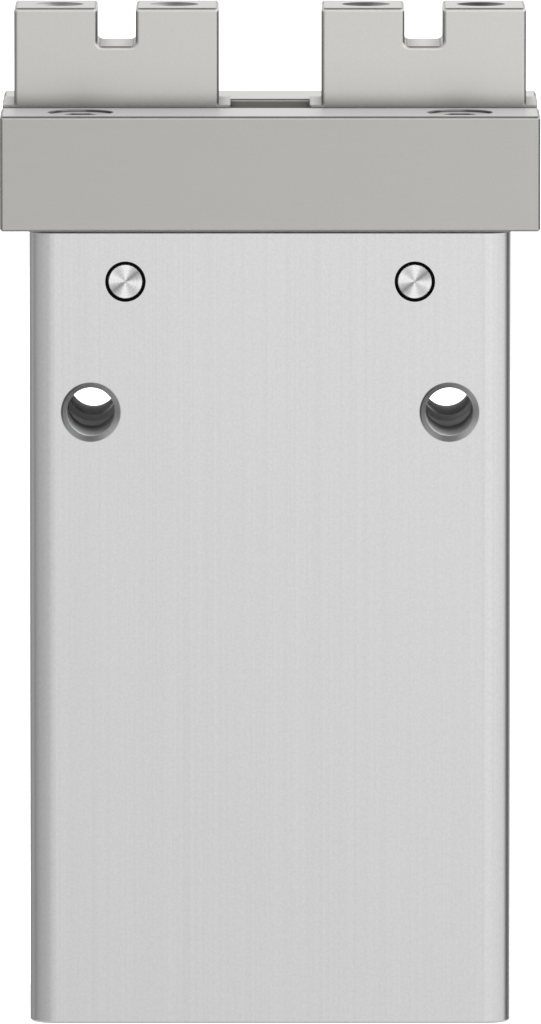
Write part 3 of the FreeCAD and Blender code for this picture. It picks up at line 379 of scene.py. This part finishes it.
finishes = {
    "housing_aluminium": dict(
        colour=(0.666, 0.665, 0.666), metallic=1.0, roughness=0.30, bump=(0.08, 0.002 * MM), grain=EXTRUDED,
        speckle=MATT_SPECKLE, edge=0.02, bore=mount_bores, alone=True, lean=(2.2, 2.4), extra=NO_GLOSS,
    ),
    "cap_aluminium": dict(
        colour=(0.60, 0.60, 0.61), metallic=1.0, roughness=0.34, bump=(0.10, 0.003 * MM), edge=0.05,
    ),
    "rail_steel": dict(
        colour=(0.3025, 0.298, 0.2835), metallic=0.5, roughness=0.40, bump=(0.06, 0.003 * MM), grain=GROUND,
        edge=0.10, bevels=rail_bevels, painted_top_light=(0.010, 0.011, 0.024), painted_contact_shade=(0.2, 0.30, 0.72),
        lean=(3.0, 0.0),
    ),
    "jaw_steel": dict(
        colour=(0.613, 0.606, 0.581), metallic=1.0, roughness=0.36, bump=(0.06, 0.003 * MM), grain=GROUND,
        edge=0.14, bevels=jaw_bevels, drilled=jaw_holes, painted_contact_shade=(0.30, 0.5, 0.92), lean=(3.4, 0.0),
    ),
    "screw_steel": dict(
        colour=(0.36, 0.36, 0.35), metallic=0.6, roughness=0.34, bump=(0.08, 0.003 * MM), edge=0.05,
        alone=True, painted_contact_shade=(0.10, 0.5, 0.95),
    ),
    "pin_steel": dict(
        colour=(0.80, 0.80, 0.80), metallic=1.0, roughness=0.24, bump=(0.06, 0.002 * MM), edge=0.03,
    ),
    "lever_steel": dict(
        colour=(0.40, 0.40, 0.41), metallic=1.0, roughness=0.35, bump=(0.10, 0.003 * MM), edge=0.05,
    ),
    "spring_steel": dict(
        colour=(0.10, 0.10, 0.105), metallic=1.0, roughness=0.36, bump=(0.10, 0.003 * MM), edge=0.05,
    ),
    "roller_steel": dict(
        colour=(0.74, 0.74, 0.75), metallic=1.0, roughness=0.12, bump=(0.03, 0.002 * MM), edge=0.04,
    ),
    "seal_rubber": dict(
        colour=(0.002, 0.002, 0.002), metallic=0.0, roughness=0.90, bump=(0.20, 0.004 * MM), extra=NO_GLOSS,
    ),
    "bumper_rubber": dict(
        colour=(0.030, 0.030, 0.031), metallic=0.0, roughness=0.70, bump=(0.20, 0.005 * MM),
    ),
    "magnet": dict(
        colour=(0.022, 0.020, 0.020), metallic=0.0, roughness=0.66, bump=(0.15, 0.004 * MM),
    ),
    "retainer_brass": dict(
        colour=(0.60, 0.42, 0.16), metallic=1.0, roughness=0.30, bump=(0.08, 0.003 * MM), edge=0.05,
    ),
}
materials = {name: surface_material(name, **finish) for name, finish in finishes.items()}

for subpart in frame["record"]["subparts"]:
    item = nodes[subpart["node"]]
    item.data.materials.clear()
    item.data.materials.append(materials[subpart["material_slot"]])


# Turned ends of the lever pins, with painted reflections: a dark sweep with a streak along its middle, a
# weaker sweep across it, and a painted lobe of light.
PIN_X, PIN_Z = 7.5, 38.8
TURNED_COLOUR = (0.99, 0.99, 0.99)
SWEEP_ANGLE = math.radians(38.0)
SWEEP_SHADE = 0.46
SWEEP_RANGE = (0.15, 1.0)
CROSS_SHADE = 0.64
CROSS_RANGE = (-1.0, -0.35)
STREAK_SHADE = 0.74
STREAK_RANGE = (0.02 * MM, 0.14 * MM)
LOBE_ANGLE = math.radians(160.0)
LOBE_LIGHT = 1.16
LOBE_RANGE = (0.85, 1.0)
MARKS_PER_METRE = (11000.0, 1.0, 1.0)
MARK_LEVELS = (0.91, 1.18)
WEAR_PER_METRE = (2200.0, 2200.0, 2200.0)
WEAR_LEVELS = (0.96, 1.02)
TURNED_ROUGHNESS = (0.40, 0.45)


def turned_material():
    """Bright steel with lathe marks and painted reflections: highlights run across the rings about Y."""
    material, tree = new_material("turned_steel")
    place = tree.add("TexCoord").outputs["Object"]
    wear = tree.noise(place, WEAR_PER_METRE, detail=2.0)
    axes = tree.add("SeparateXYZ", Vector=place)
    middle = tree.maths("MULTIPLY", tree.maths("SIGN", axes.outputs["X"]), PIN_X * MM)
    across = tree.maths("SUBTRACT", axes.outputs["X"], middle)
    up = tree.maths("SUBTRACT", axes.outputs["Z"], PIN_Z * MM)
    distance = tree.hypotenuse(across, up)
    # Painted reflections: two dark sweeps, a streak and a lobe of light, by the angle about the pin's middle.
    angle = tree.maths("SUBTRACT", tree.maths("ARCTAN2", up, across), SWEEP_ANGLE)
    turn = tree.maths("COSINE", tree.maths("MULTIPLY", angle, 2.0))
    off_sweep = tree.maths("ABSOLUTE", tree.maths("MULTIPLY", distance, tree.maths("SINE", angle)))
    painted_streak = tree.spread(off_sweep, STREAK_SHADE, 1.0, *STREAK_RANGE)
    painted_sweep = tree.spread(turn, 1.0, SWEEP_SHADE, *SWEEP_RANGE)
    painted_cross_sweep = tree.spread(turn, CROSS_SHADE, 1.0, *CROSS_RANGE)
    off_lobe = tree.maths("COSINE", tree.maths("SUBTRACT", angle, LOBE_ANGLE - SWEEP_ANGLE))
    painted_lobe = tree.spread(off_lobe, 1.0, LOBE_LIGHT, *LOBE_RANGE)
    outward = tree.add("CombineXYZ", X=distance).outputs[0]
    marks = tree.spread(tree.noise(outward, MARKS_PER_METRE, detail=1.0), *MARK_LEVELS)
    worn = tree.spread(wear, *WEAR_LEVELS)
    tint = tree.total("MULTIPLY", painted_sweep, painted_cross_sweep, painted_streak, painted_lobe, marks, worn)
    shader = tree.add(
        "BsdfPrincipled",
        Base_Color=tree.shade(TURNED_COLOUR, tint),
        Metallic=1.0,
        Roughness=tree.spread(wear, *TURNED_ROUGHNESS),
        Anisotropic=0.9,
        Anisotropic_Rotation=0.25,
        Tangent=tree.add("Tangent", {"direction_type": "RADIAL", "axis": "Y"}).outputs[0],
    )
    tree.show(shader)
    return material


WELD_DISTANCE = 1e-4 * MM


def make_piece(name, parts, body, material):
    """One object from several (points, faces) parts, riding on a body."""
    mesh = bpy.data.meshes.new(name)
    form = bmesh.new()
    for points, faces in parts:
        corners = [form.verts.new(point) for point in points]
        for face in faces:
            form.faces.new([corners[index] for index in face])
    bmesh.ops.remove_doubles(form, verts=form.verts, dist=WELD_DISTANCE)
    bmesh.ops.recalc_face_normals(form, faces=form.faces)
    for face in form.faces:
        face.smooth = True
    form.to_mesh(mesh)
    form.free()
    mesh.materials.append(material)
    piece = bpy.data.objects.new(name, mesh)
    scene.collection.objects.link(piece)
    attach(piece, body)
    return piece


def turned(profile, foot, along, segments=48):
    """A closed profile of (radius, height) in mm, turned about an axis from a foot point."""
    along = Vector(along)
    side = along.orthogonal().normalized()
    other = along.cross(side)
    points = []
    faces = []
    rows = len(profile)
    for step in range(segments):
        angle = 2.0 * math.pi * step / segments
        outward = side * math.cos(angle) + other * math.sin(angle)
        points += [(Vector(foot) + outward * radius + along * height) * MM for radius, height in profile]
        for row in range(rows):
            ends = [(step, row), (step, (row + 1) % rows)]
            ends += [((step + 1) % segments, (row + 1) % rows), ((step + 1) % segments, row)]
            if profile[row][0] > 0.0 or profile[(row + 1) % rows][0] > 0.0:
                faces.append([turn * rows + place for turn, place in ends])
    return points, faces


def helix(radius, depth, pitch, length, foot, along, segments=28):
    """A thread ridge inside a bore, in mm, from a foot point along the bore, with run-outs at its ends."""
    along = Vector(along)
    side = along.orthogonal().normalized()
    other = along.cross(side)
    half_base = 0.46 * pitch
    half_crest = 0.12 * pitch
    buried = 0.03
    least_depth = 0.05
    steps = int(segments * length / pitch)
    points = []
    faces = []
    for step in range(steps + 1):
        angle = 2.0 * math.pi * step / segments
        outward = side * math.cos(angle) + other * math.sin(angle)
        middle = pitch * step / segments
        run_out = min(1.0, min(step, steps - step) / segments + least_depth)
        section = (
            (radius + buried, -half_base),
            (radius - depth * run_out, -half_crest),
            (radius - depth * run_out, half_crest),
            (radius + buried, half_base),
        )
        rows = len(section)
        for reach, rise in section:
            points.append((Vector(foot) + outward * reach + along * (middle + rise)) * MM)
        if step < steps:
            first, second = rows * step, rows * (step + 1)
            for row in range(rows):
                following = (row + 1) % rows
                faces.append([first + row, first + following, second + following, second + row])
    faces.append(list(range(rows)))
    faces.append([rows * steps + row for row in reversed(range(rows))])
    return points, faces


# Lever pins: turned end faces and black sealing lips, on the front and on the back.
PIN_END = 7.83
FACE_RADIUS = 0.897
FACE_RISE = 0.004
FACE_DEPTH = 0.05
RING_PITCH = 0.095
RING_RISE = 0.008
RING_STEPS = 6
LIP_RADIUS = 1.05
LIP_BORE = 0.905
LIP_DEPTH = 0.25
turned_steel = turned_material()
face_profile = [(0.0, -FACE_DEPTH)]
ring_count = int(FACE_RADIUS / RING_PITCH)
for step in range(ring_count * RING_STEPS + 1):
    wave = 0.5 - 0.5 * math.cos(2.0 * math.pi * step / RING_STEPS)
    face_profile.append((step * RING_PITCH / RING_STEPS, FACE_RISE + RING_RISE * wave))
face_profile.append((FACE_RADIUS, -FACE_DEPTH))
lip_profile = [
    (FACE_RADIUS - 0.002, 0.002),
    (0.90, 0.010),
    (0.915, 0.014),
    (0.98, 0.014),
    (LIP_RADIUS - 0.02, 0.008),
    (LIP_RADIUS, -0.03),
    (LIP_RADIUS, -LIP_DEPTH),
    (LIP_BORE, -LIP_DEPTH),
    (LIP_BORE, 0.0),
]
lips = []
for side, side_name in ((1.0, "right"), (-1.0, "left")):
    for end, end_name in ((-1.0, "front"), (1.0, "back")):
        foot = (side * PIN_X, end * PIN_END, PIN_Z)
        outward = (0.0, end, 0.0)
        face = turned(face_profile, foot, outward)
        make_piece(f"{side_name}_{end_name}_pin_face", [face], "housing", turned_steel)
        lips.append(turned(lip_profile, foot, outward))
seal_lips = make_piece("pin_seal_lips", lips, "housing", materials["seal_rubber"])
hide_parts("pin_seals")

# Threads in the jaws' tops, in the housing's foot and in its two air ports.
DOWN, UP, FORWARD = (0.0, 0.0, -1.0), (0.0, 0.0, 1.0), (0.0, -1.0, 0.0)
JAW_THREAD = {"radius": 1.025, "depth": 0.10, "pitch": 0.45, "length": 4.0, "along": DOWN}
JAW_HOLE_X = (5.0, 11.0)
JAW_TOP = 52.6
JAW_THREAD_DROP = 0.32
FOOT_THREAD = {"radius": 1.25, "depth": 0.13, "pitch": 0.5, "length": 5.05, "along": UP}
FOOT_HOLE_X = (-9.0, 9.0)
FOOT_HOLE_Y = (-5.3, 5.3)
FOOT_THREAD_Z = 0.55
PORT_THREAD = {"radius": 1.25, "depth": 0.13, "pitch": 0.5, "length": 1.35, "along": FORWARD}
PORT_THREAD_Y = 7.30
PORT_Z = (6.85, 22.305)
for side, body in ((1.0, "right_jaw"), (-1.0, "left_jaw")):
    threads = [helix(foot=(side * x, 0.0, JAW_TOP - JAW_THREAD_DROP), **JAW_THREAD) for x in JAW_HOLE_X]
    make_piece(body + "_threads", threads, body, materials["jaw_steel"])
threads = [helix(foot=(x, y, FOOT_THREAD_Z), **FOOT_THREAD) for x in FOOT_HOLE_X for y in FOOT_HOLE_Y]
threads += [helix(foot=(0.0, PORT_THREAD_Y, z), **PORT_THREAD) for z in PORT_Z]
make_piece("housing_threads", threads, "housing", materials["housing_aluminium"])


# Surroundings: near the horizon the brightness follows the angle about the part, above and below it is even,
# and all of it is dimmed by height.
AROUND = (
    (-180.0, 0.59), (-164.0, 0.57), (-148.0, 0.15), (-134.0, 0.27), (-124.0, 0.37), (-115.0, 0.31),
    (-106.0, 0.17), (-99.0, 0.21), (-92.0, 0.325), (-78.0, 0.345), (-60.0, 0.395), (-44.0, 0.42),
    (-34.0, 0.43), (-24.0, 0.47), (-12.0, 0.64), (4.0, 0.66), (16.0, 0.73), (40.0, 0.67),
    (56.0, 0.66), (68.0, 0.635), (84.0, 0.63), (99.0, 0.625), (107.0, 0.20), (113.0, 0.03),
    (130.0, 0.03), (150.0, 0.57), (180.0, 0.59),
)
HEIGHTS = (
    (-1.0, 0.70), (-0.4, 0.84), (-0.1, 0.85), (0.2, 0.98), (0.6, 1.0), (0.86, 0.8), (0.96, 0.35), (1.0, 0.30),
)
MIRROR_DROP = 0.11
EVEN_START, EVEN_END = 0.24, 0.50
EVEN_LIGHT = 0.62
WORLD_STRENGTH = 1.735
world = bpy.data.worlds.new("studio")
scene.world = world
world.use_nodes = True
sky = Tree(world.node_tree)
direction = sky.add("SeparateXYZ", Vector=sky.add("TexCoord").outputs["Generated"])
sideways, height = direction.outputs["X"], direction.outputs["Z"]
turn = sky.maths("ARCTAN2", sideways, sky.maths("MULTIPLY", direction.outputs["Y"], -1.0))
around = sky.maths("ADD", sky.maths("DIVIDE", turn, 2.0 * math.pi), 0.5)
circle_light = sky.ramp(around, [(angle / 360.0 + 0.5, level) for angle, level in AROUND])
off_horizon = sky.maths("ABSOLUTE", sky.maths("ADD", height, MIRROR_DROP))
evenness = sky.spread(off_horizon, 0.0, 1.0, EVEN_START, EVEN_END)
side_light = sky.blend(evenness, circle_light, EVEN_LIGHT)
height_share = sky.spread(height, 0.0, 1.0, -1.0, 1.0)
level_light = sky.ramp(height_share, [(0.5 * up + 0.5, level) for up, level in HEIGHTS])
brightness = sky.total("MULTIPLY", side_light, level_light, WORLD_STRENGTH)
background = sky.add("Background", Color=WHITE, Strength=brightness)
sky.show(background, "OutputWorld")

# Top light: a soft square lamp that brightens the level faces and stays out of the reflections.
LAMP_PLACE = Vector((0.05, -0.02, 0.54))
LAMP_AIM = Vector((0.0, 0.0, 0.04))
LAMP_SIZE = 0.20
LAMP_POWER = 5.6
lamp_data = bpy.data.lights.new("top_light", "AREA")
lamp_data.shape = "RECTANGLE"
lamp_data.size = LAMP_SIZE
lamp_data.size_y = LAMP_SIZE
lamp_data.energy = LAMP_POWER
lamp = bpy.data.objects.new("top_light", lamp_data)
lamp.location = LAMP_PLACE
lamp.rotation_mode = "QUATERNION"
lamp.rotation_quaternion = (LAMP_AIM - LAMP_PLACE).to_track_quat("-Z", "Y")
scene.collection.objects.link(lamp)
lamp.visible_glossy = False

# Floor: a pale plane that glows a little, so that it stays white behind the part.
FLOOR_HALF = 3.0
FLOOR_DROP = -0.02 * MM
FLOOR_COLOUR = (0.8, 0.8, 0.8, 1.0)
FLOOR_GLOW = 0.85
floor_mesh = bpy.data.meshes.new("floor")
floor_corners = ((-1, -1), (1, -1), (1, 1), (-1, 1))
floor_points = [(x * FLOOR_HALF, y * FLOOR_HALF, FLOOR_DROP) for x, y in floor_corners]
floor_mesh.from_pydata(floor_points, [], [(0, 1, 2, 3)])
floor = bpy.data.objects.new("floor", floor_mesh)
scene.collection.objects.link(floor)
floor.visible_glossy = False
floor_material, floor_tree = new_material("floor")
glow = floor_tree.add(
    "BsdfPrincipled",
    Base_Color=FLOOR_COLOUR,
    Roughness=0.9,
    Emission_Color=WHITE,
    Emission_Strength=FLOOR_GLOW,
)
floor_tree.show(glow)
floor_mesh.materials.append(floor_material)
